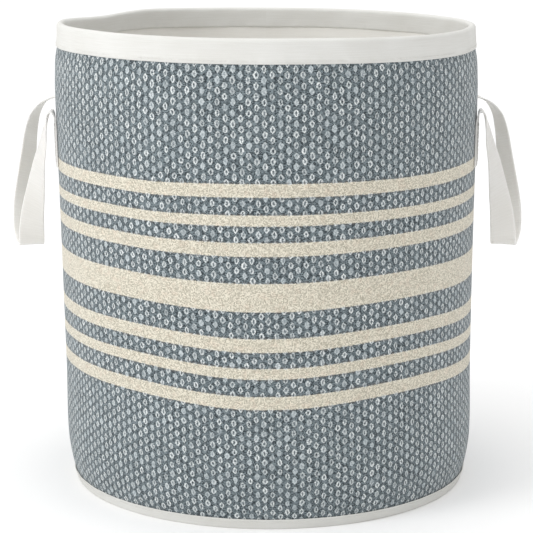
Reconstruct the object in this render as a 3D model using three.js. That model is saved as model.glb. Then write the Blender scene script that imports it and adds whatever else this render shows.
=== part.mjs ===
// A round soft laundry hamper. A woven outer wall, a stiffener and a lining stand on a sewn base with a board
// in it. A spring wire hoop in the folded canvas band holds the mouth open. Two flat straps are sewn on at the
// sides, and their loops hang and swing.
//
// Millimetres, +Z up. The origin is on the floor at the middle of the base. The handles are at -X and +X.

import * as THREE from "three";

// ---- Driving dimensions -------------------------------------------------------------------------------

const HEIGHT = 445;
const FACETS = 40; // flats round every turned piece, the same for all, so that the layers stay parallel
const GAP = 0.3; // clearance between layers that touch on the sewn object

const WALL_THICKNESS = 1.2;
const STIFFENER_THICKNESS = 2;
const LINER_THICKNESS = 0.8;
const CANVAS_THICKNESS = 0.9;

// The woven wall's outer face, as [height, radius]: drawn in at the base seam, nearly straight, fullest just
// under the band, and drawn in again where the band grips it.
const WALL_OUTLINE = [
  [1.2, 190.2],
  [15, 194],
  [40, 196.4],
  [134, 198.2],
  [222, 199.7],
  [385, 202.6],
  [412, 201.8],
  [424, 199.3],
  [438, 198.7],
];

const BAND_DEPTH_OUTSIDE = 22;
const BAND_DEPTH_INSIDE = 20;
const HOOP_WIRE_RADIUS = 1.2;
const HOOP_DROP = 4.2; // from the top of the band to the wire's centre
const FERRULE_RADIUS = 2.2;
const FERRULE_LENGTH = 14;

const BASE_FABRIC_THICKNESS = 1;
const BASE_FABRIC_RADIUS = 186;
const BASE_BOARD_THICKNESS = 3;
const BASE_BOARD_RADIUS = 185;
const BINDING_HEIGHT = 9.5;
const BINDING_FOOT_INNER_RADIUS = 186.4;

const SEAM_WIDTH = 0.8; // a row of stitches, as a thin raised line
const SEAM_RISE = 0.5;
const BAND_SEAM_UP = 2.5; // from the band's lower edge
const BINDING_SEAM_DOWN = 2; // from the binding's upper edge

const STRAP_WIDTH = 25;
const STRAP_THICKNESS = 1.5;
const FRONT_TAB_ANGLE = 8.5; // degrees from the X axis forward to the front tab's centre
const BACK_TAB_ANGLE = 26.5; // and back to the back tab's
const TAB_RADIUS = 203.6; // from the hamper's axis to the middle of a tab's thickness
const TAB_BOTTOM = 309;
const TAB_FLAT_TOP = 352;
const HINGE_HEIGHT = 361.5;
const HINGE_FRONT = [205.8, -31]; // where the front leg starts to swing, seen from above
const HINGE_BACK = [206.5, 92];
const HINGE_CLEARANCE = 3; // from the hinge line to the end of a tab
const END_TAPER = 0.4; // how far a tapered end reaches past the hinge line, in strap thicknesses
const END_THICKNESS_SHARE = 0.5;

const TAB_SEAM_WIDTH = 19;
const TAB_SEAM_HEIGHT = 36;
const TAB_SEAM_CENTRE = 331;

// ---- Materials ----------------------------------------------------------------------------------------

function material(color, roughness, metalness = 0) {
  return new THREE.MeshStandardMaterial({ color, roughness, metalness });
}

const WOVEN = () => material(0x8494a0, 0.9);
const CREAM_LINING = () => material(0xd2ceca, 0.9);
const WHITE_CANVAS = () => material(0xe8e6e2, 0.85);
const WHITE_STRAP = () => material(0xdedcd9, 0.8);
const WHITE_THREAD = () => material(0xf0efec, 0.7);
const GREY_FELT = () => material(0xb4b4b0, 0.95);
const FIBRE_BOARD = () => material(0x9b8a72, 0.8);
const SPRING_STEEL = () => material(0xa8aaad, 0.35, 0.9);

// ---- Shape helpers ------------------------------------------------------------------------------------

const hamper = new THREE.Group();

function add(name, geometry, meshMaterial, parent = hamper) {
  const mesh = new THREE.Mesh(geometry, meshMaterial);
  mesh.name = name;
  parent.add(mesh);
  return mesh;
}

// The woven wall's outer radius at a height, straight between the points of its outline.
function wallRadius(height) {
  const next = WALL_OUTLINE.findIndex(([z]) => z >= height);
  const [highZ, highRadius] = WALL_OUTLINE[Math.max(next, 1)];
  const [lowZ, lowRadius] = WALL_OUTLINE[Math.max(next, 1) - 1];
  return lowRadius + ((highRadius - lowRadius) * (height - lowZ)) / (highZ - lowZ);
}

// A ring or shell turned about Z from a closed outline of [radius, height], up its outside first.
function turned(outline) {
  const points = [...outline, outline[0]].map(([radius, z]) => new THREE.Vector2(radius, z));
  return new THREE.LatheGeometry(points, FACETS).rotateX(Math.PI / 2);
}

function disc(radius, bottom, thickness) {
  return new THREE.CylinderGeometry(radius, radius, thickness, FACETS)
    .rotateX(Math.PI / 2)
    .translate(0, 0, bottom + thickness / 2);
}

// One layer of the wall: its outer face lies `depth` inside the woven face.
function wallLayer(depth, thickness, bottom) {
  const heights = [bottom, ...WALL_OUTLINE.map(([z]) => z).filter((z) => z > bottom)];
  const outside = heights.map((z) => [wallRadius(z) - depth, z]);
  const inside = outside.map(([radius, z]) => [radius - thickness, z]).reverse();
  return turned([...outside, ...inside]);
}

// A raised row of stitches round a face of the given radius.
function seamRing(radius, centreHeight) {
  const inner = radius + GAP;
  const outer = inner + SEAM_RISE;
  const low = centreHeight - SEAM_WIDTH / 2;
  const high = centreHeight + SEAM_WIDTH / 2;
  return turned([[outer, low], [outer, high], [inner, high], [inner, low]]);
}

// ---- Wall ---------------------------------------------------------------------------------------------

const stiffenerDepth = WALL_THICKNESS + GAP;
const linerDepth = stiffenerDepth + STIFFENER_THICKNESS + GAP;
const wallStack = linerDepth + LINER_THICKNESS; // woven face to lining face
const boardBottom = BASE_FABRIC_THICKNESS + GAP;
const baseLinerBottom = boardBottom + BASE_BOARD_THICKNESS + GAP;

add("outer_panel", wallLayer(0, WALL_THICKNESS, WALL_OUTLINE[0][0]), WOVEN());
add("wall_stiffener", wallLayer(stiffenerDepth, STIFFENER_THICKNESS, boardBottom), GREY_FELT());
add("liner_panel", wallLayer(linerDepth, LINER_THICKNESS, baseLinerBottom), CREAM_LINING());

// ---- Base ---------------------------------------------------------------------------------------------

add("base_outer_disc", disc(BASE_FABRIC_RADIUS, 0, BASE_FABRIC_THICKNESS), WHITE_CANVAS());
add("base_board", disc(BASE_BOARD_RADIUS, boardBottom, BASE_BOARD_THICKNESS), FIBRE_BOARD());
add("base_liner_disc", disc(BASE_BOARD_RADIUS, baseLinerBottom, LINER_THICKNESS), CREAM_LINING());

// The binding stands against the wall's lower edge and turns in under it, to meet the base fabric.
function bindingGeometry() {
  const faceLow = wallRadius(WALL_OUTLINE[0][0]) + GAP;
  const faceHigh = wallRadius(BINDING_HEIGHT) + GAP;
  return turned([
    [BINDING_FOOT_INNER_RADIUS, 0],
    [faceLow + CANVAS_THICKNESS, 0],
    [faceHigh + CANVAS_THICKNESS, BINDING_HEIGHT],
    [faceHigh, BINDING_HEIGHT],
    [faceLow, CANVAS_THICKNESS],
    [BINDING_FOOT_INNER_RADIUS, CANVAS_THICKNESS],
  ]);
}

const bindingSeamHeight = BINDING_HEIGHT - BINDING_SEAM_DOWN;
const bindingSeamRadius = wallRadius(bindingSeamHeight + SEAM_WIDTH) + GAP + CANVAS_THICKNESS;
add("bottom_binding", bindingGeometry(), WHITE_CANVAS());
add("bottom_binding_stitching", seamRing(bindingSeamRadius, bindingSeamHeight), WHITE_THREAD());

// ---- Rim ----------------------------------------------------------------------------------------------

// The band is a U over the rim: a leg outside, a half-round fold at the top and a shorter leg inside.
const wallTop = WALL_OUTLINE[WALL_OUTLINE.length - 1][0];
const bandLow = HEIGHT - BAND_DEPTH_OUTSIDE;
const bandInsideLow = HEIGHT - BAND_DEPTH_INSIDE;
const foldHalfWidth = wallStack / 2 + GAP + CANVAS_THICKNESS;
const foldRadius = wallRadius(wallTop) - wallStack / 2; // from the hamper's axis to the middle of the rim
const foldHeight = HEIGHT - foldHalfWidth;
const FOLD_STEPS = 4;

// One face of the band, from its outer lower edge over the fold to its inner lower edge.
function bandFace(inset) {
  const clearance = GAP + CANVAS_THICKNESS - inset;
  const face = [
    [wallRadius(bandLow) + clearance, bandLow],
    [wallRadius(wallTop) + clearance, wallTop],
  ];
  for (let i = 0; i <= FOLD_STEPS; i++) {
    const angle = (Math.PI * i) / FOLD_STEPS;
    const reach = foldHalfWidth - inset;
    face.push([foldRadius + reach * Math.cos(angle), foldHeight + reach * Math.sin(angle)]);
  }
  face.push([wallRadius(wallTop) - wallStack - clearance, wallTop]);
  face.push([wallRadius(bandInsideLow) - wallStack - clearance, bandInsideLow]);
  return face;
}

add("top_band", turned([...bandFace(0), ...bandFace(CANVAS_THICKNESS).reverse()]), WHITE_CANVAS());

const bandSeamHeight = bandLow + BAND_SEAM_UP;
const bandSeamRadius = wallRadius(bandLow) + GAP + CANVAS_THICKNESS;
add("top_band_stitching", seamRing(bandSeamRadius, bandSeamHeight), WHITE_THREAD());

const hoopHeight = HEIGHT - HOOP_DROP;
const hoop = add(
  "top_hoop",
  new THREE.TorusGeometry(foldRadius, HOOP_WIRE_RADIUS, 8, FACETS),
  SPRING_STEEL(),
);
hoop.position.z = hoopHeight;

// The ferrule sits round the middle of one straight facet of the hoop, at the back.
function ferruleGeometry() {
  const ring = new THREE.Shape().absarc(0, 0, FERRULE_RADIUS, 0, 2 * Math.PI, false);
  ring.holes.push(new THREE.Path().absarc(0, 0, HOOP_WIRE_RADIUS + GAP, 0, 2 * Math.PI, true));
  return new THREE.ExtrudeGeometry(ring, {
    depth: FERRULE_LENGTH,
    bevelEnabled: false,
    curveSegments: 6,
  }).translate(0, 0, -FERRULE_LENGTH / 2);
}

const halfFacet = Math.PI / FACETS;
const ferruleAngle = Math.PI / 2 + halfFacet;
const ferruleReach = foldRadius * Math.cos(halfFacet);
const ferrule = add("hoop_ferrule", ferruleGeometry(), SPRING_STEEL());
ferrule.position.set(
  ferruleReach * Math.cos(ferruleAngle),
  ferruleReach * Math.sin(ferruleAngle),
  hoopHeight,
);
ferrule.lookAt(
  ferrule.position.x - Math.sin(ferruleAngle),
  ferrule.position.y + Math.cos(ferruleAngle),
  hoopHeight,
);

// ---- Handles ------------------------------------------------------------------------------------------

// A strap's route is a list of stations [x, y, z, turn] for the right handle. `turn` is the direction of the
// strap's width seen from above, in degrees from +X. The left handle mirrors it.
const frontTabX = TAB_RADIUS * Math.cos(THREE.MathUtils.degToRad(FRONT_TAB_ANGLE));
const frontTabY = -TAB_RADIUS * Math.sin(THREE.MathUtils.degToRad(FRONT_TAB_ANGLE));
const backTabX = TAB_RADIUS * Math.cos(THREE.MathUtils.degToRad(BACK_TAB_ANGLE));
const backTabY = TAB_RADIUS * Math.sin(THREE.MathUtils.degToRad(BACK_TAB_ANGLE));
const hingeTurn = THREE.MathUtils.radToDeg(
  Math.atan2(HINGE_BACK[1] - HINGE_FRONT[1], HINGE_BACK[0] - HINGE_FRONT[0]),
);
const backTabTurn = 90 + BACK_TAB_ANGLE;
const frontTabTurn = 270 - FRONT_TAB_ANGLE;
const frontHingeTurn = 180 + hingeTurn;

const FRONT_TAB = [
  [frontTabX, frontTabY, TAB_BOTTOM, frontTabTurn],
  [frontTabX, frontTabY, 336, frontTabTurn],
  [frontTabX, frontTabY, TAB_FLAT_TOP, frontTabTurn],
  [202, -30.5, 359, frontTabTurn + 2],
  [203, -30.8, 363, frontTabTurn + 5],
  [HINGE_FRONT[0] - HINGE_CLEARANCE * 0.6, HINGE_FRONT[1], HINGE_HEIGHT + HINGE_CLEARANCE * 0.8, frontHingeTurn],
];
const BACK_TAB = [
  [backTabX, backTabY, TAB_BOTTOM, backTabTurn],
  [backTabX, backTabY, 336, backTabTurn],
  [backTabX, backTabY, TAB_FLAT_TOP, backTabTurn],
  [184.8, 91.4, 359.5, backTabTurn - 7],
  [190.5, 92, 364, backTabTurn - 15],
  [197.5, 92, 364.8, backTabTurn - 22],
  [HINGE_BACK[0] - HINGE_CLEARANCE * 0.9, HINGE_BACK[1], HINGE_HEIGHT + HINGE_CLEARANCE * 0.43, hingeTurn],
];
// The loop goes out and down from the back tab, turns up at the bottom with its width pointing outwards, and
// comes back to the front tab closer to the wall.
const LOOP = [
  [HINGE_BACK[0], HINGE_BACK[1], HINGE_HEIGHT, hingeTurn],
  [214, 91.6, 357.6, 93],
  [221.5, 90.4, 353, 99],
  [227.8, 87.8, 344, 107],
  [233.1, 84, 330.5, 112],
  [236.2, 80, 310.5, 116],
  [238.7, 75, 290.5, 119],
  [240.2, 68, 268.5, 129],
  [239.2, 57, 247.5, 146],
  [234.7, 43, 232, 166],
  [230.6, 30, 226.9, 180],
  [227.5, 17, 229.7, 187],
  [225.1, 3, 241.5, 193],
  [222, -9.5, 259.5, 203],
  [218.4, -18, 283.5, 221],
  [214.4, -23.5, 310.5, 240],
  [210.4, -27.5, 334.5, 253],
  [207.8, -31.1, 350.5, 263],
  [HINGE_FRONT[0], HINGE_FRONT[1], HINGE_HEIGHT, frontHingeTurn],
];

function mirrored(stations) {
  return stations.map(([x, y, z, turn]) => [-x, y, z, 180 - turn]);
}

// Where the strap's middle, direction and width are at a share of its route.
function strapFrame(stations, route, share) {
  const place = share * (stations.length - 1);
  const from = Math.min(Math.floor(place), stations.length - 2);
  const turn = THREE.MathUtils.lerp(stations[from][3], stations[from + 1][3], place - from);
  const direction = route.getTangent(share);
  const width = new THREE.Vector3(1, 0, 0)
    .applyAxisAngle(new THREE.Vector3(0, 0, 1), THREE.MathUtils.degToRad(turn));
  width.addScaledVector(direction, -width.dot(direction)).normalize();
  return { middle: route.getPoint(share), direction, width };
}

// The four corners of the strap's section, moved `along` its direction and thinned to `share` of its thickness.
function strapSection({ middle, direction, width }, along = 0, share = 1) {
  const normal = new THREE.Vector3().crossVectors(direction, width);
  const corners = [[1, 1], [-1, 1], [-1, -1], [1, -1]];
  return corners.map(([w, n]) =>
    middle
      .clone()
      .addScaledVector(direction, along)
      .addScaledVector(width, (w * STRAP_WIDTH) / 2)
      .addScaledVector(normal, (n * share * STRAP_THICKNESS) / 2),
  );
}

// A flat strap along its stations. Tapered ends let a strap turn about its own end line.
function strapGeometry(stations, stepsPerStation, taperedEnds) {
  const route = new THREE.CatmullRomCurve3(
    stations.map(([x, y, z]) => new THREE.Vector3(x, y, z)),
  );
  const steps = (stations.length - 1) * stepsPerStation;
  const sections = [];
  for (let i = 0; i <= steps; i++) {
    sections.push(strapSection(strapFrame(stations, route, i / steps)));
  }
  if (taperedEnds) {
    const reach = STRAP_THICKNESS * END_TAPER;
    sections.unshift(strapSection(strapFrame(stations, route, 0), -reach, END_THICKNESS_SHARE));
    sections.push(strapSection(strapFrame(stations, route, 1), reach, END_THICKNESS_SHARE));
  }
  const index = [];
  const last = (sections.length - 1) * 4;
  for (let s = 0; s < last; s += 4) {
    for (let k = 0; k < 4; k++) {
      const a = s + k;
      const b = s + ((k + 1) % 4);
      // Opposite faces are split along matching diagonals, so a twisted stretch keeps its thickness.
      if (k < 2) {
        index.push(a, b, b + 4, a, b + 4, a + 4);
      } else {
        index.push(a, b, a + 4, b, b + 4, a + 4);
      }
    }
  }
  index.push(0, 2, 1, 0, 3, 2, last, last + 1, last + 2, last, last + 2, last + 3);
  const geometry = new THREE.BufferGeometry().setFromPoints(sections.flat());
  geometry.setIndex(index);
  geometry.computeVertexNormals();
  return geometry;
}

// The seam on a tab: a rectangle with a cross in it, drawn in the tab's plane and standing on its face.
function tabSeamGeometry() {
  const halfWidth = TAB_SEAM_WIDTH / 2;
  const halfHeight = TAB_SEAM_HEIGHT / 2;
  const outline = new THREE.Shape([
    new THREE.Vector2(-halfWidth, -halfHeight),
    new THREE.Vector2(halfWidth, -halfHeight),
    new THREE.Vector2(halfWidth, halfHeight),
    new THREE.Vector2(-halfWidth, halfHeight),
  ]);
  const reachX = halfWidth - SEAM_WIDTH;
  const reachY = halfHeight - SEAM_WIDTH;
  const slantX = SEAM_WIDTH * 0.7;
  const slantY = slantX * (halfHeight / halfWidth);
  for (const side of [-1, 1]) {
    outline.holes.push(
      new THREE.Path([
        new THREE.Vector2(side * reachX, -reachY + slantY),
        new THREE.Vector2(side * reachX, reachY - slantY),
        new THREE.Vector2(side * slantX, 0),
      ]),
      new THREE.Path([
        new THREE.Vector2(-reachX + slantX, side * reachY),
        new THREE.Vector2(reachX - slantX, side * reachY),
        new THREE.Vector2(0, side * slantY),
      ]),
    );
  }
  return new THREE.ExtrudeGeometry(outline, { depth: SEAM_RISE, bevelEnabled: false });
}

function addTabSeam(name, x, y) {
  const seam = add(name, tabSeamGeometry(), WHITE_THREAD());
  const outward = new THREE.Vector3(x, y, 0).normalize();
  const across = new THREE.Vector3(-outward.y, outward.x, 0);
  const up = new THREE.Vector3(0, 0, 1);
  seam.quaternion.setFromRotationMatrix(new THREE.Matrix4().makeBasis(across, up, outward));
  seam.position.set(x, y, TAB_SEAM_CENTRE).addScaledVector(outward, STRAP_THICKNESS / 2 + GAP);
}

for (const side of ["left", "right"]) {
  const sign = side === "left" ? -1 : 1;
  const placed = (stations) => (side === "left" ? mirrored(stations) : stations);
  add(`${side}_handle_loop`, strapGeometry(placed(LOOP), 2, true), WHITE_STRAP());
  add(`${side}_handle_front_tab`, strapGeometry(placed(FRONT_TAB), 2, false), WHITE_STRAP());
  add(`${side}_handle_back_tab`, strapGeometry(placed(BACK_TAB), 2, false), WHITE_STRAP());
  addTabSeam(`${side}_handle_front_stitching`, sign * frontTabX, frontTabY);
  addTabSeam(`${side}_handle_back_stitching`, sign * backTabX, backTabY);
}

export default hamper;
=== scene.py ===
"""The looks of a round soft-sided laundry hamper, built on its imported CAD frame.

The frame is in metres, with +Z up and -Y to the front. Sizes here are in millimetres until a mesh is made.
"""

import math

import bpy
import numpy as np
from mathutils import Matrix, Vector


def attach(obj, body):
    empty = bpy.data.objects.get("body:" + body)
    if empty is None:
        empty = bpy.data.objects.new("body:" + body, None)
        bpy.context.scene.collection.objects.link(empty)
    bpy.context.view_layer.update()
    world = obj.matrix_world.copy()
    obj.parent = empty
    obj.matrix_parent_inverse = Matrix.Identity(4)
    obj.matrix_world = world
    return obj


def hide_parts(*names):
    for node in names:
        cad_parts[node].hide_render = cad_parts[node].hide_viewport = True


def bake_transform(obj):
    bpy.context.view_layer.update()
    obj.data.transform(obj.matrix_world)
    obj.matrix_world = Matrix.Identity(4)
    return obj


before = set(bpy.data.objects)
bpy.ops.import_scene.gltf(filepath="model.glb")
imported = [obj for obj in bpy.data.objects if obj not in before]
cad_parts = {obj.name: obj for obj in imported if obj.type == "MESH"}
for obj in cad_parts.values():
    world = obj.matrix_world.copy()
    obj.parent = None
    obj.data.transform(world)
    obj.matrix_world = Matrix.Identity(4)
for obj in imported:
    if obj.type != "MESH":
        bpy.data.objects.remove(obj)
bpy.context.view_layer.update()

MM = 0.001
TAU = 2 * math.pi

# ---- Sizes, as in the CAD model ---------------------------------------------------------------------

HEIGHT = 445
# The wall's outer face: (height, radius).
WALL_OUTLINE = [
    (1.2, 190.2),
    (15, 194),
    (40, 196.4),
    (134, 198.2),
    (222, 199.7),
    (385, 202.6),
    (412, 201.8),
    (424, 199.3),
    (438, 198.7),
]
WALL_BOTTOM = 1.2
WALL_TOP = 438
GAP = 0.3
WALL_THICKNESS = 1.2
STIFFENER_BOTTOM = 1.3
STIFFENER_DEPTH = 1.5
STIFFENER_THICKNESS = 2
LINER_BOTTOM = 4.7
LINER_DEPTH = 3.8
LINER_THICKNESS = 0.8
WALL_STACK = LINER_DEPTH + LINER_THICKNESS
CANVAS_THICKNESS = 0.9

BAND_BOTTOM = 423
BAND_INSIDE_BOTTOM = 425
FOLD_HALF_WIDTH = WALL_STACK / 2 + GAP + CANVAS_THICKNESS
HOOP_WIRE_RADIUS = 1.2
HOOP_HEIGHT = HEIGHT - 4.2
FERRULE_RADIUS = 2.2
FERRULE_LENGTH = 14
BAND_SEAM_HEIGHT = BAND_BOTTOM + 2.5

BASE_RADIUS = 186
BASE_THICKNESS = 1
BASE_LINING_RADIUS = 185
BASE_LINING_BOTTOM = 4.6
BINDING_HEIGHT = 9.5
BINDING_FOOT_RADIUS = 186.4
BINDING_SEAM_HEIGHT = BINDING_HEIGHT - 2

STRAP_WIDTH = 25
STRAP_THICKNESS = 1.5
FRONT_TAB_ANGLE = math.radians(8.5)
BACK_TAB_ANGLE = math.radians(26.5)
TAB_BOTTOM = 309
TAB_SEAM_CENTRE = 331
TAB_SEAM_WIDTH = 19
TAB_SEAM_HEIGHT = 36
TAB_STITCH_GAP = 0.1  # left free at each end of a stitch, as a share of its pitch
# The right handle's hinge, in metres: the middle of its line.
HINGE_CENTRE = (0.20615, 0.0305, 0.3615)


# ---- The woven pattern ------------------------------------------------------------------------------

# Rings stand in columns, and every second column is half a ring lower.
FABRIC_RADIUS = 199.7
RING_COLUMNS = 186
RING_COLUMN_PITCH = TAU * FABRIC_RADIUS / RING_COLUMNS
RING_ROW_PITCH = 9.1
# The rings stand a little closer together low down: the rows below a height h are h times the first, less h
# squared times the second.
RING_ROWS_PER_MM = 0.11547
RING_ROWS_EASING = 1.33e-5
COLUMN_SKEW = 0.012  # how far the columns lean round the wall, for each mm up
YARN_WANDER = 0.9
STRIPES_CENTRE = 216
# Each stripe pair's distance from the middle stripe and its half width.
STRIPES = [(0, 12.8), (43.3, 6.2), (69.2, 4.9), (96, 6)]


# ---- Shape helpers ----------------------------------------------------------------------------------


def smoothed(values, reach):
    """The values averaged with their neighbours up to `reach` places away; the ends stay where they are."""
    window = np.hanning(2 * reach + 3)[1:-1]
    window /= window.sum()
    lead = 2 * values[0] - values[reach:0:-1]
    tail = 2 * values[-1] - values[-2 : -reach - 2 : -1]
    return np.convolve(np.concatenate([lead, values, tail]), window, mode="valid")


OUTLINE_STEPS = 438  # about one for each mm
CORNER_REACH = 7
OUTLINE_HEIGHTS = np.linspace(WALL_BOTTOM, WALL_TOP, OUTLINE_STEPS)
OUTLINE_RADII = smoothed(np.interp(OUTLINE_HEIGHTS, *zip(*WALL_OUTLINE)), CORNER_REACH)


def wall_radius(height):
    """The woven wall's outer radius at a height, with its corners eased."""
    return np.interp(height, OUTLINE_HEIGHTS, OUTLINE_RADII)


def ease(low, high, value):
    """0 below low, 1 above high, and smooth between."""
    share = np.clip((value - low) / (high - low), 0, 1)
    return share * share * (3 - 2 * share)


LEAN = -3.2  # how far the mouth stands to the right of the base; negative is to the left
RIM_TILT = -0.008  # the mouth's slope towards the right; negative is down
DIP_DEPTH = 4.2  # how far the rim is pressed down at the back left
SWELL = 0.7  # how far the free cloth stands out all round
# Soft waves round the free cloth: size, waves in one turn, phase, and how the phase changes up the wall.
WALL_WAVES = [(0.7, 2, 0.9, 0), (0.6, 3, -0.7, 1.5), (0.35, 5, 2.1, 4.0), (0.2, 9, -1.0, 7.0)]
# Soft ups and downs round the wall: size, waves in one turn and phase.
LIFT_WAVES = [(0.35, 3, 0.5), (0.3, 5, -1.2)]


def fullness(height_mm):
    """How far the filled-out cloth stands outside the cut shape: most a little above the base."""
    low_bulge = 1.3 * np.exp(-(((height_mm - 58) / 36) ** 2))
    tucked_foot = 1.9 * (1 - ease(0, 34, height_mm))
    return 1.0 + low_bulge - tucked_foot


def settle(points):
    """Moves the points of the exactly round shape to where the soft hamper holds them."""
    x, y, z = points[..., 0], points[..., 1], points[..., 2]
    turn = np.arctan2(x, -y)
    height = z / HEIGHT
    radius = np.maximum(np.hypot(x, y), 1e-6)
    free = ease(0.02, 0.4, height) * (1 - 0.75 * ease(0.75, 1.0, height))
    waves = sum(
        size * np.cos(count * turn + phase + twist * height) for size, count, phase, twist in WALL_WAVES
    )
    out = fullness(z) * ease(150, 185, radius) + free * (SWELL + waves)
    tilt = RIM_TILT * x * ease(0.84, 1.0, height)
    dip = DIP_DEPTH * np.exp(-(((x + 168) / 28) ** 2)) * ease(0, 60, y) * ease(0.9, 1.0, height)
    ups_and_downs = sum(size * np.cos(count * turn + phase) for size, count, phase in LIFT_WAVES)
    moved = np.empty_like(points)
    moved[..., 0] = x + out * x / radius + LEAN * ease(0.0, 0.85, height)
    moved[..., 1] = y + out * y / radius
    moved[..., 2] = z + tilt - dip + ease(0.1, 1.0, height) * ups_and_downs
    return moved


def grid_faces(rows, columns, rows_wrap, columns_wrap):
    """Four-cornered faces of a grid of points, and the row and column step at each face corner."""
    row_steps = np.arange(rows if rows_wrap else rows - 1)
    column_steps = np.arange(columns if columns_wrap else columns - 1)
    row, column = (g.ravel() for g in np.meshgrid(row_steps, column_steps, indexing="ij"))
    corner_rows = np.stack([row, row, row + 1, row + 1], axis=1)
    corner_columns = np.stack([column, column + 1, column + 1, column], axis=1)
    faces = (corner_rows % rows) * columns + corner_columns % columns
    return faces, corner_rows, corner_columns


def end_caps(rows, columns):
    """The two faces that close a tube of points at its first and last row."""
    last = (rows - 1) * columns
    return [list(range(columns))[::-1], list(range(last, last + columns))]


def make_piece(name, points, faces, threads, material, body="root"):
    """An object from points in mm. `threads` gives each face corner its place in the cloth, in mm."""
    mesh = bpy.data.meshes.new(name)
    mesh.from_pydata((points * MM).tolist(), [], [list(face) for face in faces])
    mesh.shade_smooth()
    place = mesh.attributes.new("threads", "FLOAT_VECTOR", "CORNER")
    place.data.foreach_set("vector", np.asarray(threads, np.float32).ravel())
    mesh.materials.append(material)
    mesh.validate()
    piece = bpy.data.objects.new(name, mesh)
    bpy.context.scene.collection.objects.link(piece)
    if body:
        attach(piece, body)
    return piece


def round_grid(outline, columns):
    """Points of an outline of (radius, height) turned round the axis, starting at the back."""
    turn = np.arange(columns) / columns * TAU
    radius = outline[:, 0][:, None]
    points = np.empty((len(outline), columns, 3))
    points[..., 0] = -radius * np.sin(turn)
    points[..., 1] = radius * np.cos(turn)
    points[..., 2] = outline[:, 1][:, None]
    return points


def turned_piece(name, outline, columns, material, along=None, ripple=None, drift=None):
    """A closed ring of cloth: its section's outline, (radius, height) in mm, goes up the outside first.

    `along` is the cloth's length coordinate at each outline point, and the height if it isn't given.
    `ripple` moves the points outwards, and `drift` moves the pattern up the cloth.
    """
    outline = np.asarray(outline, float)
    points = round_grid(outline, columns)
    if ripple is not None:
        radius = np.hypot(points[..., 0], points[..., 1])
        turn = np.arctan2(points[..., 0], -points[..., 1])
        share = 1 + ripple(turn, points[..., 2]) / radius
        points[..., :2] *= share[..., None]
    points = settle(points).reshape(-1, 3)
    faces, rows, steps = grid_faces(len(outline), columns, True, True)
    along = outline[:, 1] if along is None else np.asarray(along, float)
    along = np.append(along, along[0])
    threads = np.zeros(faces.shape + (3,))
    threads[..., 0] = steps / columns * TAU * FABRIC_RADIUS
    threads[..., 1] = along[rows]
    if drift is not None:
        threads[..., 1] += drift(steps / columns * TAU, threads[..., 1])
    return make_piece(name, points, faces, threads, material)


def lengths_along(outline):
    """The cloth's length from the outline's first point to each of its points."""
    return np.concatenate([[0], np.cumsum(np.linalg.norm(np.diff(outline, axis=0), axis=1))])


def wall_layer(depth, thickness, bottom, top, face_step, back_step, face_outside=True):
    """The section of one wall layer. Its shown face has a point every `face_step` mm."""
    outside_step, inside_step = (face_step, back_step) if face_outside else (back_step, face_step)
    outside = np.linspace(bottom, top, int((top - bottom) / outside_step) + 2)
    inside = np.linspace(top, bottom, int((top - bottom) / inside_step) + 2)
    radii = [wall_radius(outside) - depth, wall_radius(inside) - depth - thickness]
    return np.stack([np.concatenate(radii), np.concatenate([outside, inside])], axis=1)


def disc_piece(name, radius, bottom, thickness, material):
    """A round piece of cloth that lies flat, as rings of faces round a middle face on each side."""
    columns = 96
    inside = np.linspace(radius * 0.04, radius, 14)
    upper = np.stack([inside, np.full(len(inside), bottom + thickness, float)], axis=1)
    lower = np.stack([inside[::-1], np.full(len(inside), bottom, float)], axis=1)
    outline = np.concatenate([upper, lower])[::-1]
    points = round_grid(outline, columns).reshape(-1, 3)
    faces, _, _ = grid_faces(len(outline), columns, False, True)
    faces = faces.tolist() + end_caps(len(outline), columns)
    corners = np.concatenate([np.asarray(face) for face in faces])
    return make_piece(name, points, faces, points[corners], material)


# ---- Stitches ---------------------------------------------------------------------------------------

STITCH_LENGTH = 3.1
STITCH_PITCH = 3.8
THREAD_RADIUS = 0.27
STITCH_SIDES = 8
# One stitch: the place of each ring of points along it, its size, and its height over the cloth.
STITCH_PLACES = np.array([-0.5, -0.44, -0.3, 0, 0.3, 0.44, 0.5])
STITCH_SIZES = np.array([0.3, 0.75, 1, 1.1, 1, 0.75, 0.3])
STITCH_HEIGHTS = np.array([-0.8, -0.1, 0.6, 0.85, 0.6, -0.1, -0.8])


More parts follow.
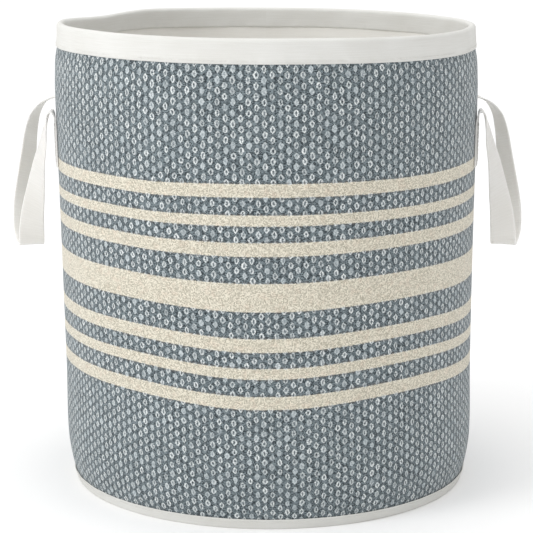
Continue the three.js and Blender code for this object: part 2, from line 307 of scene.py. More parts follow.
def stitches_piece(name, starts, ends, normals, material, seed):
    """Separate raised stitches from each start to each end, on a surface with the given normals."""
    random = np.random.default_rng(seed)
    count = len(starts)
    along = ends - starts
    length = np.linalg.norm(along, axis=1)
    along = along / length[:, None]
    across = np.cross(normals, along)
    across /= np.linalg.norm(across, axis=1)[:, None]
    along = along + across * random.normal(0, 0.03, count)[:, None]
    length = length * random.normal(1, 0.03, count)
    around = np.arange(STITCH_SIDES) / STITCH_SIDES * TAU
    size = THREAD_RADIUS * STITCH_SIZES[None, :] * random.normal(1, 0.04, (count, 1))
    height = THREAD_RADIUS * STITCH_HEIGHTS[None, :]
    centres = (starts + ends)[:, None, :] / 2
    centres = centres + along[:, None, :] * (STITCH_PLACES[None, :] * length[:, None])[..., None]
    centres = centres + normals[:, None, :] * height[..., None]
    upward = np.cos(around)[:, None] * normals[:, None, None, :]
    sideways = np.sin(around)[:, None] * across[:, None, None, :]
    points = centres[:, :, None, :] + (upward + sideways) * size[:, :, None, None]
    rings = len(STITCH_PLACES)
    faces, rows, steps = grid_faces(rings, STITCH_SIDES, False, True)
    places = [STITCH_PLACES[rows] * STITCH_LENGTH, steps / STITCH_SIDES, np.zeros(rows.shape)]
    threads = np.stack(places, axis=-1).reshape(-1, 3)
    caps = end_caps(rings, STITCH_SIDES)
    all_faces = []
    all_threads = []
    for index in range(count):
        first = index * rings * STITCH_SIDES
        all_faces += (faces + first).tolist()
        all_faces += [[first + corner for corner in cap] for cap in caps]
        all_threads += [threads, np.zeros((2 * STITCH_SIDES, 3))]
    all_threads = np.concatenate(all_threads)
    return make_piece(name, points.reshape(-1, 3), all_faces, all_threads, material)


def ring_stitches(name, radius, height, material, seed):
    """A row of stitches round the wall."""
    count = int(TAU * radius / STITCH_PITCH)
    middle = np.arange(count) / count * TAU
    reach = STITCH_LENGTH / 2 / radius

    def on_wall(turn):
        sides = [-radius * np.sin(turn), radius * np.cos(turn)]
        return settle(np.stack(sides + [np.full(count, height)], axis=1))

    outward = np.stack([-np.sin(middle), np.cos(middle), np.zeros(count)], axis=1)
    starts = on_wall(middle - reach)
    ends = on_wall(middle + reach)
    return stitches_piece(name, starts, ends, outward, material, seed)


# ---- Material helpers -------------------------------------------------------------------------------


def rgb(red, green, blue):
    """A screen colour, 0 to 255, as the linear colour that shaders take."""
    channels = [c / 255 for c in (red, green, blue)]
    return [c / 12.92 if c <= 0.04045 else ((c + 0.055) / 1.055) ** 2.4 for c in channels] + [1.0]


class Finish:
    """A node material. Its methods add nodes and return their output, or plug one into the shader."""

    def __init__(self, name, **shader_values):
        self.material = bpy.data.materials.new(name)
        self.material.use_nodes = True
        self.tree = self.material.node_tree
        self.shader = self.tree.nodes["Principled BSDF"]
        for key, value in shader_values.items():
            self.shader.inputs[key.replace("_", " ")].default_value = value

    def node(self, kind, inputs, **properties):
        made = self.tree.nodes.new(kind)
        for key, value in properties.items():
            setattr(made, key, value)
        for key, value in inputs.items():
            if isinstance(value, bpy.types.NodeSocket):
                self.tree.links.new(value, made.inputs[key])
            else:
                made.inputs[key].default_value = value
        return made

    def math(self, operation, a, b=0.0, clamp=False):
        return self.node("ShaderNodeMath", {0: a, 1: b}, operation=operation, use_clamp=clamp).outputs[0]

    def add(self, a, b):
        return self.math("ADD", a, b)

    def times(self, a, b):
        return self.math("MULTIPLY", a, b)

    def smooth(self, value, low, high, to_low=0.0, to_high=1.0):
        inputs = {"Value": value, "From Min": low, "From Max": high, "To Min": to_low, "To Max": to_high}
        return self.node("ShaderNodeMapRange", inputs, interpolation_type="SMOOTHSTEP").outputs["Result"]

    def blend(self, share, a, b):
        return self.node("ShaderNodeMix", {0: share, 6: a, 7: b}, data_type="RGBA").outputs[2]

    def vector(self, x, y, z=0.0):
        return self.node("ShaderNodeCombineXYZ", {0: x, 1: y, 2: z}).outputs[0]

    def threads(self):
        """Around, along and third coordinates in the cloth, in mm."""
        place = self.node("ShaderNodeAttribute", {}, attribute_name="threads").outputs["Vector"]
        return self.node("ShaderNodeSeparateXYZ", {0: place}).outputs

    def noise(self, place, scale, detail=2.0, roughness=0.5):
        inputs = {"Vector": place, "Scale": scale, "Detail": detail, "Roughness": roughness}
        return self.node("ShaderNodeTexNoise", inputs).outputs["Fac"]

    def white_noise(self, place):
        return self.node("ShaderNodeTexWhiteNoise", {"Vector": place}, noise_dimensions="3D").outputs

    def random(self, place):
        return self.white_noise(place)["Value"]

    def random_three(self, place):
        return self.node("ShaderNodeSeparateColor", {0: self.white_noise(place)["Color"]}).outputs

    def wave(self, value, period):
        """0 to 1 and back, once each period."""
        turned = self.times(value, TAU / period)
        return self.add(self.times(self.math("SINE", turned), 0.5), 0.5)

    def weave(self, around, along, pitch):
        """The height of a plain weave's threads, 0 to 1: one thread over, one under, both ways."""
        across_thread = self.math("SINE", self.times(around, math.pi / pitch))
        along_thread = self.math("SINE", self.times(along, math.pi / pitch))
        product = self.times(across_thread, along_thread)
        return self.add(self.times(product, 0.5), 0.5)

    def colour(self, value):
        self.tree.links.new(value, self.shader.inputs["Base Color"])

    def roughness(self, value):
        self.tree.links.new(value, self.shader.inputs["Roughness"])

    def relief(self, height, depth_mm):
        inputs = {"Height": height, "Strength": 1.0, "Distance": depth_mm * MM}
        bump = self.node("ShaderNodeBump", inputs).outputs["Normal"]
        self.tree.links.new(bump, self.shader.inputs["Normal"])


# ---- Materials --------------------------------------------------------------------------------------


def stripe_distance(m, along):
    """How far, in mm, a height is outside the nearest cream stripe; negative inside one."""
    off_centre = m.math("ABSOLUTE", m.add(along, -STRIPES_CENTRE))
    nearest = None
    for offset, half_width in STRIPES:
        distance = m.add(m.math("ABSOLUTE", m.add(off_centre, -offset)), -half_width)
        nearest = distance if nearest is None else m.math("MINIMUM", nearest, distance)
    return nearest


def ring_cells(m, around, along):
    """The column and row of the ring at a place, and the place in mm from the middle of its cell."""
    wander_x = m.noise(m.vector(around, along), 0.35, 2)
    wander_x = m.times(m.add(wander_x, -0.5), YARN_WANDER)
    wander_y = m.noise(m.vector(along, around, 7.0), 0.3, 2)
    wander_y = m.times(m.add(wander_y, -0.5), YARN_WANDER)
    skewed = m.add(around, m.times(along, COLUMN_SKEW))
    x_all = m.times(m.add(skewed, wander_x), 1 / RING_COLUMN_PITCH)
    column = m.math("FLOOR", x_all)
    odd = m.math("MODULO", column, 2.0)
    height = m.add(along, wander_y)
    eased = m.times(m.times(height, height), -RING_ROWS_EASING)
    rows_up = m.add(m.times(height, RING_ROWS_PER_MM), eased)
    y_all = m.add(rows_up, m.times(odd, 0.5))
    row = m.math("FLOOR", y_all)
    x = m.times(m.add(m.math("SUBTRACT", x_all, column), -0.5), RING_COLUMN_PITCH)
    y = m.times(m.add(m.math("SUBTRACT", y_all, row), -0.5), RING_ROW_PITCH)
    return column, row, x, y


def ring_pattern(m, around, along):
    """The rings, each a little different.

    Returns how much of a ring shows, its strength, how far its hole is filled, and the distances sideways
    and upwards from its middle.
    """
    column, row, x, y = ring_cells(m, around, along)
    pick = m.random_three(m.vector(column, row, 3.0))
    more = m.random_three(m.vector(column, row, 11.0))
    x = m.add(x, m.times(m.add(pick[0], -0.5), 0.7))
    x_off = m.math("ABSOLUTE", x)
    y_off = m.math("ABSOLUTE", y)
    half_width = m.add(m.times(pick[1], 0.55), 2.0)
    half_height = m.add(m.times(pick[2], 0.6), 3.15)
    across = m.math("DIVIDE", x_off, half_width)
    upward = m.math("POWER", m.math("DIVIDE", y_off, half_height), 2.0)
    rough = m.times(m.add(m.noise(m.vector(around, along, 17.0), 0.75, 1), -0.5), 0.9)
    oval = m.add(m.add(across, upward), rough)
    inside = m.smooth(oval, 1.15, 0.8)
    filled = m.smooth(more[0], 0.5, 1.0)
    hole = m.smooth(oval, 0.55, 0.15)
    hole = m.times(hole, m.math("SUBTRACT", 1.0, m.times(filled, 0.75)))
    ring = m.times(inside, m.math("SUBTRACT", 1.0, hole))
    strength = m.add(m.times(more[1], 0.35), 0.65)
    return ring, strength, filled, x_off, y_off


def ground_colour(m, around, along, stitch, x_off, y_off):
    """The ground between the rings: short dark and mid floats of yarn, paler where two rings nearly meet."""
    floats = m.noise(m.vector(m.times(around, 0.55), m.times(along, 0.95)), 1.0, 3, 0.65)
    floats = m.add(m.times(floats, 0.7), m.times(stitch, 0.3))
    ground = m.blend(m.smooth(floats, 0.34, 0.64), rgb(28, 36, 41), rgb(126, 138, 143))
    patches = m.noise(m.vector(around, along), 0.06, 2)
    ground = m.blend(m.times(patches, 0.25), ground, rgb(100, 110, 115))
    link = m.times(m.smooth(y_off, 3.2, 4.5), m.smooth(x_off, 1.6, 0.3))
    return m.blend(m.times(link, 0.3), ground, rgb(160, 171, 175))


def ring_colour(m, around, along, stitch, filled):
    """The rings' pale yarns, greyer where the hole is filled."""
    yarns = m.noise(m.vector(m.times(around, 1.3), m.times(along, 1.3), 5.0), 1.0, 2, 0.6)
    yarns = m.add(m.times(yarns, 0.75), m.times(stitch, 0.25))
    bright = m.blend(m.smooth(yarns, 0.3, 0.66), rgb(156, 169, 174), rgb(246, 248, 247))
    return m.blend(m.times(filled, 0.45), bright, rgb(158, 172, 180))


def cream_colour(m, around, along, stitch, poke):
    """The stripes' cream yarns, with the rings' yarn poking in at the edges."""
    speckle = m.noise(m.vector(around, along, 9.0), 0.9, 3, 0.7)
    speckle = m.add(m.times(speckle, 0.75), m.times(stitch, 0.25))
    tint = m.noise(m.vector(around, along, 21.0), 0.16, 2, 0.5)
    cream = m.blend(m.smooth(speckle, 0.32, 0.66), rgb(168, 162, 145), rgb(233, 227, 211))
    cream = m.blend(m.times(m.smooth(tint, 0.5, 0.75), 0.3), cream, rgb(214, 194, 176))
    return m.blend(m.times(poke, 0.5), cream, rgb(224, 228, 226))


def stripe_edge(m, around, along):
    """The distance outside the nearest stripe, with an uneven edge."""
    uneven = m.noise(m.vector(m.times(around, 0.8), m.times(along, 0.25), 2.0), 1.0, 2, 0.6)
    return m.add(stripe_distance(m, along), m.times(m.add(uneven, -0.5), 1.6))


def border_floats(m, around, along, distance):
    """How much of the row of brownish floats beside a stripe shows."""
    border = m.times(m.smooth(distance, -0.2, 0.5), m.smooth(distance, 2.0, 1.0))
    dashes = m.noise(m.vector(m.times(around, 0.3), m.times(along, 0.1), 31.0), 1.0, 1)
    return m.times(m.times(border, m.smooth(dashes, 0.42, 0.58)), 0.6)


def woven_fabric():
    """The wall's cloth: pale rings on a blue-grey ground, between plain cream stripes."""
    m = Finish(
        "woven_fabric_finish",
        Roughness=0.92,
        Specular_IOR_Level=0.2,
        Sheen_Weight=0.22,
        Sheen_Roughness=0.5,
    )
    around, along, _ = m.threads()
    ring, strength, filled, x_off, y_off = ring_pattern(m, around, along)
    shown = m.times(ring, strength)
    stitch_column = m.math("FLOOR", m.times(around, 0.95))
    stitch_row = m.math("FLOOR", m.times(along, 1.05))
    stitch = m.random(m.vector(stitch_column, stitch_row, 4.0))
    ground = ground_colour(m, around, along, stitch, x_off, y_off)
    blue = m.blend(shown, ground, ring_colour(m, around, along, stitch, filled))

    distance = stripe_edge(m, around, along)
    stripe = m.smooth(distance, 0.35, -0.35)
    poke = m.times(shown, m.smooth(distance, -1.6, -0.2))
    cream = cream_colour(m, around, along, stitch, poke)
    blue = m.blend(border_floats(m, around, along, distance), blue, rgb(92, 88, 84))
    m.colour(m.blend(stripe, blue, cream))

    rib = m.weave(around, along, 0.85)
    yarn = m.noise(m.vector(around, m.times(along, 1.6), 13.0), 1.1, 2, 0.6)
    raised_rings = m.times(m.times(ring, m.math("SUBTRACT", 1.0, stripe)), 0.5)
    relief = m.add(raised_rings, m.times(rib, 0.3))
    m.relief(m.add(relief, m.times(yarn, 0.45)), 0.45)
    return m.material


def plain_cloth(name, light, dark, pitch, depth, shine_through=0.0):
    """A plain-woven cloth: fine threads, faint slubs and an uneven tone. Light can pass through it."""
    m = Finish(
        name,
        Roughness=0.9,
        Specular_IOR_Level=0.2,
        Subsurface_Weight=shine_through,
        Subsurface_Scale=0.006,
    )
    m.shader.inputs["Subsurface Radius"].default_value = (1, 1, 1)
    around, along, third = m.threads()
    place = m.vector(around, along, third)
    broad = m.noise(place, 0.018, 2, 0.5)
    streak = m.noise(m.vector(m.times(around, 0.03), m.times(along, 0.9), third), 1.0, 3, 0.6)
    fine = m.noise(place, 1.2, 2, 0.6)
    tone = m.add(m.times(broad, 0.5), m.add(m.times(streak, 0.5), m.times(fine, 0.3)))
    m.colour(m.blend(m.smooth(tone, 0.35, 0.95), dark, light))
    rib = m.weave(around, along, pitch)
    m.relief(m.add(rib, m.times(m.noise(place, 0.5, 3, 0.6), 0.8)), depth)
    return m.material


TWIST_LENGTH = 0.55  # of the thread's plies, in mm


def sewing_thread():
    """Twisted white thread with painted shade in the grooves between its plies: the light and dark bands
    climb one twist in each turn round the stitch.
    """
    m = Finish("sewing_thread_finish", Roughness=0.6, Specular_IOR_Level=0.35)
    along, around, _ = m.threads()
    twist = m.wave(m.add(along, m.times(around, TWIST_LENGTH)), TWIST_LENGTH)
    # The darker colour is painted shade in the grooves between the plies, and the lighter colour is their
    # lit crowns.
    m.colour(m.blend(twist, rgb(206, 204, 198), rgb(240, 239, 236)))
    m.relief(twist, 0.06)
    return m.material


def cad_place(m):
    """Coordinates in mm on a CAD node, whose mesh lies in the frame."""
    place = m.node("ShaderNodeTexCoord", {}).outputs["Object"]
    inputs = {0: place, 1: (1000, 1000, 1000)}
    return m.node("ShaderNodeVectorMath", inputs, operation="MULTIPLY").outputs[0]


def fibre_board():
    m = Finish("fibre_board_finish", Roughness=0.85)
    place = cad_place(m)
    specks = m.noise(place, 0.9, 4, 0.7)
    m.colour(m.blend(m.smooth(specks, 0.3, 0.7), rgb(139, 122, 98), rgb(170, 152, 126)))
    m.relief(specks, 0.15)
    return m.material


def spring_steel():
    m = Finish("spring_steel_finish", Metallic=1.0)
    around, along, _ = m.threads()
    drawn = m.noise(m.vector(m.times(around, 0.05), m.times(along, 6.0)), 1.0, 3, 0.6)
    m.colour(m.blend(drawn, rgb(140, 142, 146), rgb(180, 183, 187)))
    m.roughness(m.smooth(drawn, 0.2, 0.8, 0.28, 0.5))
    return m.material


def felt():
    m = Finish("stiffener_felt_finish", Roughness=0.97, Specular_IOR_Level=0.1)
    around, along, third = m.threads()
    place = m.vector(around, along, third)
    fibres = m.noise(place, 0.8, 4, 0.75)
    m.colour(m.blend(m.smooth(fibres, 0.3, 0.7), rgb(168, 168, 164), rgb(196, 196, 191)))
    m.relief(fibres, 0.3)
    return m.material


WOVEN = woven_fabric()
FELT = felt()
LINING = plain_cloth("lining_finish", rgb(247, 246, 242), rgb(238, 236, 231), pitch=0.5, depth=0.05)
CANVAS = plain_cloth("canvas_finish", rgb(226, 226, 223), rgb(214, 213, 208), pitch=0.55, depth=0.09)
STRAP = plain_cloth(
    "strap_finish", rgb(226, 224, 220), rgb(210, 207, 201), pitch=0.6, depth=0.1, shine_through=1.0
)
THREAD = sewing_thread()
BOARD = fibre_board()
STEEL = spring_steel()


# ---- Wall -------------------------------------------------------------------------------------------


def fabric_drift(turn, height):
    """How far the woven pattern wanders up or down the wall, in mm."""
    side = np.sin(turn - math.pi)  # -1 at the left, 1 at the right
    sway = 0.9 * np.exp(-(((turn - math.pi + 0.52) / 0.16) ** 2)) * ease(150, 330, height)
    # Low down the pattern rises towards both sides, less so at the far right.
    left_rise = 7.2 * ease(0.05, 0.7, -side)
    right_rise = 5.2 * ease(0.05, 0.62, side) - 3.8 * ease(0.7, 1.0, side)
    rise = (left_rise + right_rise) * np.clip((314 - height) / 140, 0, 1)
    return sway - rise - 0.8 * side**2 + 0.3 * np.cos(4 * turn + height / 90)


def add_wall():
    outer = turned_piece(
        "outer_wall",
        wall_layer(0, WALL_THICKNESS, WALL_BOTTOM, WALL_TOP, face_step=4, back_step=30),
        columns=480,
        material=WOVEN,
        drift=fabric_drift,
    )
    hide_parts("outer_panel")
    stiffener = turned_piece(
        "wall_stiffener_felt",
        wall_layer(
            STIFFENER_DEPTH, STIFFENER_THICKNESS, STIFFENER_BOTTOM, WALL_TOP, face_step=15, back_step=15
        ),
        columns=240,
        material=FELT,
    )
    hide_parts("wall_stiffener")
    lining = turned_piece(
        "wall_lining",
        wall_layer(
            LINER_DEPTH,
            LINER_THICKNESS,
            LINER_BOTTOM,
            WALL_TOP,
            face_step=6,
            back_step=30,
            face_outside=False,
        ),
        columns=360,
        material=LINING,
    )
    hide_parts("liner_panel")


# ---- Base -------------------------------------------------------------------------------------------


def add_base():
    base = disc_piece("base_fabric", BASE_RADIUS, 0, BASE_THICKNESS, CANVAS)
    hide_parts("base_outer_disc")
    lining = disc_piece(
        "base_lining",
        BASE_LINING_RADIUS,
        BASE_LINING_BOTTOM,
        LINER_THICKNESS,
        LINING,
    )
    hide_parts("base_liner_disc")


def binding_ripple(turn, height):
    """The binding's upper edge is not quite even."""
    loose = ease(4, BINDING_HEIGHT, height)
    return loose * (0.25 + 0.12 * np.cos(37 * turn + 1) + 0.1 * np.cos(61 * turn))


def binding_section():
    """The binding's closed section: under the base, round the foot of the wall and up its outer face."""
    low = wall_radius(WALL_BOTTOM) + GAP
    heights = np.linspace(CANVAS_THICKNESS, BINDING_HEIGHT, 8)
    face = wall_radius(np.maximum(heights, WALL_BOTTOM)) + GAP
    outside = np.stack([face + CANVAS_THICKNESS, heights], axis=1)
    inside = np.stack([face, heights], axis=1)[::-1]
    rounded_edge = [[face[-1] + CANVAS_THICKNESS * 0.5, BINDING_HEIGHT + 0.35]]
    foot = [[BINDING_FOOT_RADIUS, 0], [low + 0.3, 0], [low + 0.75, 0.25]]
    foot_inside = [[BINDING_FOOT_RADIUS, CANVAS_THICKNESS]]
    return np.concatenate([foot, outside, rounded_edge, inside, foot_inside])


def add_binding():
    outline = binding_section()
    binding = turned_piece(
        "bottom_binding_tape",
        outline,
        columns=480,
        material=CANVAS,
        along=lengths_along(outline),
        ripple=binding_ripple,
    )
    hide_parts("bottom_binding")
    radius = wall_radius(BINDING_SEAM_HEIGHT) + GAP + CANVAS_THICKNESS + 0.3
    seam = ring_stitches("bottom_binding_stitches", radius, BINDING_SEAM_HEIGHT, THREAD, seed=3)
    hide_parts("bottom_binding_stitching")


# ---- Rim --------------------------------------------------------------------------------------------


def band_section():
    """The folded band's closed section, and the cloth's length at each of its points."""
    fold_radius = wall_radius(WALL_TOP) - WALL_STACK / 2
    fold_height = HEIGHT - FOLD_HALF_WIDTH

    def face(inset):
        clear = GAP + CANVAS_THICKNESS - inset
        up = np.linspace(BAND_BOTTOM, WALL_TOP, 10)
        down = np.linspace(WALL_TOP, BAND_INSIDE_BOTTOM, 9)
        arc = np.linspace(0, math.pi, 13)
        reach = FOLD_HALF_WIDTH - inset
        fold = [fold_radius + reach * np.cos(arc), fold_height + reach * np.sin(arc)]
        return np.concatenate(
            [
                np.stack([wall_radius(up) + clear, up], axis=1),
                np.stack(fold, axis=1),
                np.stack([wall_radius(down) - WALL_STACK - clear, down], axis=1),
            ]
        )

    outer = face(0)
    inner = face(CANVAS_THICKNESS)[::-1]
    edge_low = [[(outer[0, 0] + inner[-1, 0]) / 2, BAND_BOTTOM - 0.4]]
    edge_inside = [[(outer[-1, 0] + inner[0, 0]) / 2, BAND_INSIDE_BOTTOM - 0.4]]
    outline = np.concatenate([outer, edge_inside, inner, edge_low])
    lengths = lengths_along(outer)
    along = np.concatenate([lengths, [lengths[-1]], lengths[::-1], [0]])
    return outline, along


def band_ripple(turn, height):
    """Puckers along the seam, and a soft unevenness of the whole band."""
    seam = np.exp(-(((height - BAND_SEAM_HEIGHT) / 3.5) ** 2))
    pucker = 0.16 * np.cos(83 * turn) + 0.14 * np.cos(131 * turn + 2) + 0.1 * np.cos(47 * turn + 1)
    broad = 0.25 * np.cos(11 * turn + 1) + 0.2 * np.cos(17 * turn) + 0.12 * np.cos(29 * turn + height / 4)
    return pucker * seam + broad


def add_rim():
    outline, along = band_section()
    band = turned_piece(
        "rim_band",
        outline,
        columns=960,
        material=CANVAS,
        along=along,
        ripple=band_ripple,
    )
    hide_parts("top_band")
    radius = wall_radius(BAND_SEAM_HEIGHT) + GAP + CANVAS_THICKNESS + 0.15
    seam = ring_stitches("rim_band_stitches", radius, BAND_SEAM_HEIGHT, THREAD, seed=5)
    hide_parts("top_band_stitching")


# The ferrule's outline along the wire: the place of each ring of points, and its size, with two crimps.
FERRULE_PLACES = np.array([-0.5, -0.47, -0.2, -0.17, 0.17, 0.2, 0.47, 0.5])
FERRULE_SIZES = np.array([0.94, 1, 1, 0.9, 0.9, 1, 1, 0.94])
FERRULE_SIDES = 24


def add_hoop():
    """The wire in the fold."""
    radius = wall_radius(WALL_TOP) - WALL_STACK / 2
    around = np.arange(12) / 12 * TAU
    section_radius = radius + HOOP_WIRE_RADIUS * np.cos(around)
    section_height = HOOP_HEIGHT + HOOP_WIRE_RADIUS * np.sin(around)
    wire = turned_piece(
        "rim_hoop",
        np.stack([section_radius, section_height], axis=1),
        columns=320,
        material=STEEL,
        along=around * HOOP_WIRE_RADIUS,
    )
    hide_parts("top_hoop")
    add_ferrule(radius)


def add_ferrule(hoop_radius):
    """The sleeve that joins the wire's ends at the back."""
    length = FERRULE_PLACES * FERRULE_LENGTH
    bore = np.full(len(length), HOOP_WIRE_RADIUS + 0.1)
    size = np.concatenate([FERRULE_SIZES * FERRULE_RADIUS, bore])
    length = np.concatenate([length, length[::-1]])
    turn = length / hoop_radius
    sides = np.arange(FERRULE_SIDES) / FERRULE_SIDES * TAU
    reach = hoop_radius + size[:, None] * np.cos(sides)
    points = np.empty((len(length), FERRULE_SIDES, 3))
    points[..., 0] = -reach * np.sin(turn)[:, None]
    points[..., 1] = reach * np.cos(turn)[:, None]
    points[..., 2] = HOOP_HEIGHT - size[:, None] * np.sin(sides)
    points = settle(points).reshape(-1, 3)
    faces, rows, steps = grid_faces(len(length), FERRULE_SIDES, True, True)
    lengths = np.append(length, length[0])
    around = steps / FERRULE_SIDES * TAU * FERRULE_RADIUS
    threads = np.stack([lengths[rows], around, np.zeros(rows.shape)], axis=-1)
    ferrule = make_piece("rim_hoop_ferrule", points, faces, threads, STEEL)
    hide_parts("hoop_ferrule")


# ---- Handles ----------------------------------------------------------------------------------------

# The loop of the right handle: [x, y, z, turn]. `turn` is the direction of the strap's width, seen from
# above, in degrees from +X. The loop goes out and down from the back tab and comes up to the front tab.
LOOP = [
    [206.5, 92, 362.5, 89.7],
    [214, 91.6, 361.3, 93],
    [223.5, 90.4, 356.5, 99],
    [231.8, 87.8, 346, 107],
    [236.4, 84, 330.5, 113],
    [238.9, 80, 310.5, 119],
    [241.3, 75, 290.5, 123],
    [243.2, 68, 268.5, 131],
    [243.2, 57, 247.5, 141],
    [240.5, 46, 230.5, 151],
    [234.7, 32, 221.6, 160],
    [232.2, 19, 224, 166],
    [230.3, 5, 237.5, 188],
    [227, -9, 259.5, 207],
    [222.5, -18, 283.5, 222],
    [217.7, -23.5, 310.5, 239],
    [212.1, -27.5, 334.5, 252],
    [208.8, -31.1, 350.5, 263],
    [205.8, -31, 361.5, 269.7],
]
# Where the strap leaves each tab and turns over at the hinge line, from the tab's top upwards.
BACK_TAB_TOP = [[184.8, 91.4, 359.5, 109.5], [190.5, 92, 364, 101.5], [197.5, 92, 364.8, 94.5]]
FRONT_TAB_TOP = [[202, -30.5, 359, 263.5], [203.2, -30.8, 363, 266.5]]
TAB_CLEARANCE = 0.35  # between the wall and the strap's inner face
BACK_TAB_TURN = 116.5  # the direction of a tab's width, as in LOOP
FRONT_TAB_TURN = 261.5
STRAP_STEP = 1.2  # between two rows of points along the strap
STRAP_EASING = 5  # rows on each side that each row is averaged with
STRAP_CLOTH_PLACE = 5.0  # sets the two straps' cloth apart, so that their slubs differ


def tab_stations(angle, turn):
    """The flat part of a tab, from its lower end to where it leaves the wall."""
    stations = []
    for height in (TAB_BOTTOM, 320, 331, 342, 350):
        radius = wall_radius(height) + TAB_CLEARANCE + STRAP_THICKNESS / 2
        stations.append([radius * math.cos(angle), radius * math.sin(angle), height, turn])
    return stations


def smooth_route(stations, spacing):
    """Rows of the stations' values every `spacing` mm along a smooth curve through them."""
    stations = np.array(stations, float)
    gaps = np.linalg.norm(np.diff(stations[:, :3], axis=0), axis=1)
    knots = np.concatenate([[0], np.cumsum(gaps)])
    slopes = np.gradient(stations, knots, axis=0)
    at = np.linspace(0, knots[-1], int(knots[-1] / spacing) + 1)
    part = np.clip(np.searchsorted(knots, at, side="right") - 1, 0, len(gaps) - 1)
    gap = gaps[part][:, None]
    s = (at - knots[part])[:, None] / gap
    start = (2 * s**3 - 3 * s**2 + 1) * stations[part] + (s**3 - 2 * s**2 + s) * gap * slopes[part]
    end = (3 * s**2 - 2 * s**3) * stations[part + 1] + (s**3 - s**2) * gap * slopes[part + 1]
    route = start + end
    return np.stack([smoothed(column, STRAP_EASING) for column in route.T], axis=1)


def strap_section():
    """The strap's cross-section, (across, out) in mm: two flat faces and two round edges."""
    half = STRAP_WIDTH / 2
    edge = STRAP_THICKNESS / 2
    flat = np.linspace(-half + edge, half - edge, 13)
    arc = np.linspace(-math.pi / 2, math.pi / 2, 6)[1:-1]
    lower = np.stack([flat, np.full(len(flat), -edge)], axis=1)
    right = np.stack([half - edge + edge * np.cos(arc), edge * np.sin(arc)], axis=1)
    upper = np.stack([flat[::-1], np.full(len(flat), edge)], axis=1)
    left = np.stack([-half + edge - edge * np.cos(arc), -edge * np.sin(arc)], axis=1)
    return np.concatenate([lower, right, upper, left])


def unit(vectors):
    return vectors / np.linalg.norm(vectors, axis=-1, keepdims=True)


def strap_points(route):
    """Points of a strap along its route, one row of section points at each step."""
    middle = route[:, :3]
    direction = unit(np.gradient(middle, axis=0))
    turn = np.radians(route[:, 3])
    width = np.stack([np.cos(turn), np.sin(turn), np.zeros(len(turn))], axis=1)
    width = unit(width - direction * (width * direction).sum(axis=1, keepdims=True))
    normal = np.cross(direction, width)
    section = strap_section()
    bow = section[:, 0] ** 2 / (2 * FABRIC_RADIUS)  # the strap curves across its width as the wall does
    across = width[:, None, :] * section[:, 0][:, None]
    outwards = normal[:, None, :] * (section[:, 1] + bow)[:, None]
    return middle[:, None, :] + across + outwards


def strap_piece(name, route, sign):
    """One unbroken strap along its route; the left one, where sign is -1, is the right one mirrored."""
    points = strap_points(route)
    section = strap_section()
    points[..., 0] *= sign
    if sign < 0:
        points = points[:, ::-1]
        section = section[::-1]
    rows, columns = points.shape[:2]
    points = settle(points).reshape(-1, 3)
    faces, row_steps, steps = grid_faces(rows, columns, False, True)
    faces = faces.tolist() + end_caps(rows, columns)
    width_steps = np.append(section[:, 0], section[0, 0])
    third = np.full(steps.shape, STRAP_CLOTH_PLACE * sign)
    threads = np.stack([width_steps[steps], row_steps * STRAP_STEP, third], axis=-1)
    threads = np.concatenate([threads.reshape(-1, 3), np.zeros((2 * columns, 3))])
    return make_piece(name, points, faces, threads, STRAP, body=None)


def add_handle(side):
    sign = -1 if side == "left" else 1
    back = tab_stations(BACK_TAB_ANGLE, BACK_TAB_TURN) + BACK_TAB_TOP
    front = tab_stations(-FRONT_TAB_ANGLE, FRONT_TAB_TURN) + FRONT_TAB_TOP
    route = smooth_route(back + LOOP + front[::-1], STRAP_STEP)
    strap = strap_piece(f"{side}_handle_strap", route, sign)
    fold = Vector(settle(np.array(HINGE_CENTRE) / MM * np.array([sign, 1, 1]))) * MM
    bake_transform(strap)
    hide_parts(f"{side}_handle_loop", f"{side}_handle_front_tab", f"{side}_handle_back_tab")
    for place, angle in (("front", -FRONT_TAB_ANGLE), ("back", BACK_TAB_ANGLE)):
        add_tab_stitches(side, sign, place, angle)


def seam_lines():
    """The sewn box with a cross in it, as (start, end) points in the tab's plane."""
    w = TAB_SEAM_WIDTH / 2
    h = TAB_SEAM_HEIGHT / 2
    corners = [(-w, -h), (w, -h), (w, h), (-w, h)]
    sides = [(corners[i], corners[(i + 1) % 4]) for i in range(4)]
    return sides + [(corners[0], corners[2]), (corners[1], corners[3])]


def add_tab_stitches(side, sign, place, angle):
    starts = []
    ends = []
    for line in seam_lines():
        start, end = np.array(line)
        length = np.linalg.norm(end - start)
        count = round(length / STITCH_PITCH)
        for k in range(count):
            low = (k + TAB_STITCH_GAP) / count
            high = (k + 1 - TAB_STITCH_GAP) / count
            starts.append(start + (end - start) * low)
            ends.append(start + (end - start) * high)

    def on_tab(places):
        across, up = np.array(places).T
        height = TAB_SEAM_CENTRE + up
        radius = wall_radius(height) + TAB_CLEARANCE + STRAP_THICKNESS
        turn = angle + across / radius
        return settle(np.stack([sign * radius * np.cos(turn), radius * np.sin(turn), height], axis=1))

    starts = on_tab(starts)
    ends = on_tab(ends)
    outward = unit((starts + ends) * np.array([1, 1, 0]))
    name = f"{side}_{place}_tab_stitches"
    piece = stitches_piece(name, starts, ends, outward, THREAD, seed=7)
    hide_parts(f"{side}_handle_{place}_stitching")


# ---- The object -------------------------------------------------------------------------------------

add_wall()
add_base()
add_binding()
add_rim()
add_hoop()
for handle_side in ("left", "right"):
    add_handle(handle_side)

for material_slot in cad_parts["base_board"].material_slots:
    material_slot.material = BOARD


# ---- Floor, light and camera ------------------------------------------------------------------------

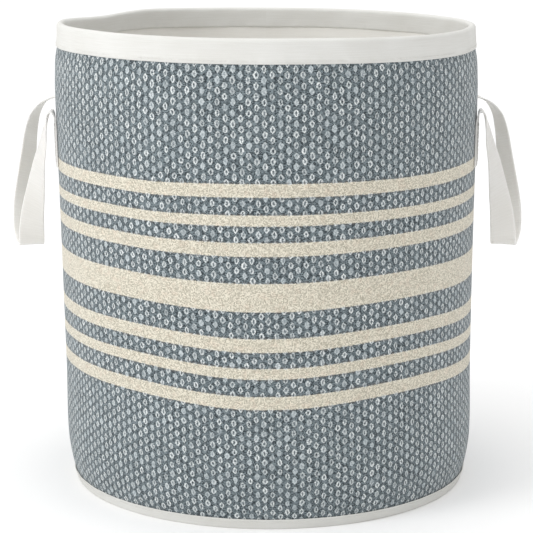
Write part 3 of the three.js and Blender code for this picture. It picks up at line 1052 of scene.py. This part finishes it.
# Places and sizes in metres, angles in degrees.
FLOOR_REACH = 20
FLOOR_COLOUR = (0.96, 0.96, 0.96, 1)
SURROUND_STRENGTH = 0.645
KEY_PLACE = (-2.6, -1.7, 1.9)
KEY_TARGET = (0, 0, 0.25)
KEY_SIZE = 1.8
KEY_POWER = 40
TOP_STRENGTH = 1.4
TOP_SPREAD = 70
CAMERA_PLACE = (-0.0027, -1.9, 0.5903)
CAMERA_DOWN = 9.6
CAMERA_LENS = 133
CAMERA_SHIFT = -0.122


def add_floor():
    mesh = bpy.data.meshes.new("floor")
    corners = [(-1, -1), (1, -1), (1, 1), (-1, 1)]
    mesh.from_pydata([(x * FLOOR_REACH, y * FLOOR_REACH, 0) for x, y in corners], [], [(0, 1, 2, 3)])
    m = Finish("floor_finish", Base_Color=FLOOR_COLOUR, Roughness=1.0, Specular_IOR_Level=0.0)
    mesh.materials.append(m.material)
    floor = bpy.data.objects.new("floor", mesh)
    bpy.context.scene.collection.objects.link(floor)


def add_area_light(name, place, target, size, power):
    light = bpy.data.lights.new(name, "AREA")
    light.shape = "DISK"
    light.size = size
    light.energy = power
    lamp = bpy.data.objects.new(name, light)
    lamp.location = place
    lamp.rotation_euler = (Vector(target) - Vector(place)).to_track_quat("-Z", "Y").to_euler()
    bpy.context.scene.collection.objects.link(lamp)


def add_light():
    world = bpy.data.worlds.new("studio")
    world.use_nodes = True
    background = world.node_tree.nodes["Background"]
    background.inputs["Color"].default_value = (1, 1, 1, 1)
    background.inputs["Strength"].default_value = SURROUND_STRENGTH
    bpy.context.scene.world = world
    add_area_light("key", KEY_PLACE, KEY_TARGET, KEY_SIZE, KEY_POWER)
    sky = bpy.data.lights.new("top", "SUN")
    sky.energy = TOP_STRENGTH
    sky.angle = math.radians(TOP_SPREAD)
    lamp = bpy.data.objects.new("top", sky)
    lamp.location = (0, 0, 3)
    bpy.context.scene.collection.objects.link(lamp)


def add_camera():
    data = bpy.data.cameras.new("camera")
    data.lens = CAMERA_LENS
    data.shift_y = CAMERA_SHIFT
    data.sensor_width = 36
    data.clip_end = 100
    camera = bpy.data.objects.new("camera", data)
    camera.location = CAMERA_PLACE
    camera.rotation_euler = (math.radians(90 - CAMERA_DOWN), 0, 0)
    bpy.context.scene.collection.objects.link(camera)
    bpy.context.scene.camera = camera


add_floor()
add_light()
add_camera()
bpy.context.scene.view_settings.view_transform = "Standard"

bpy.context.view_layer.update()
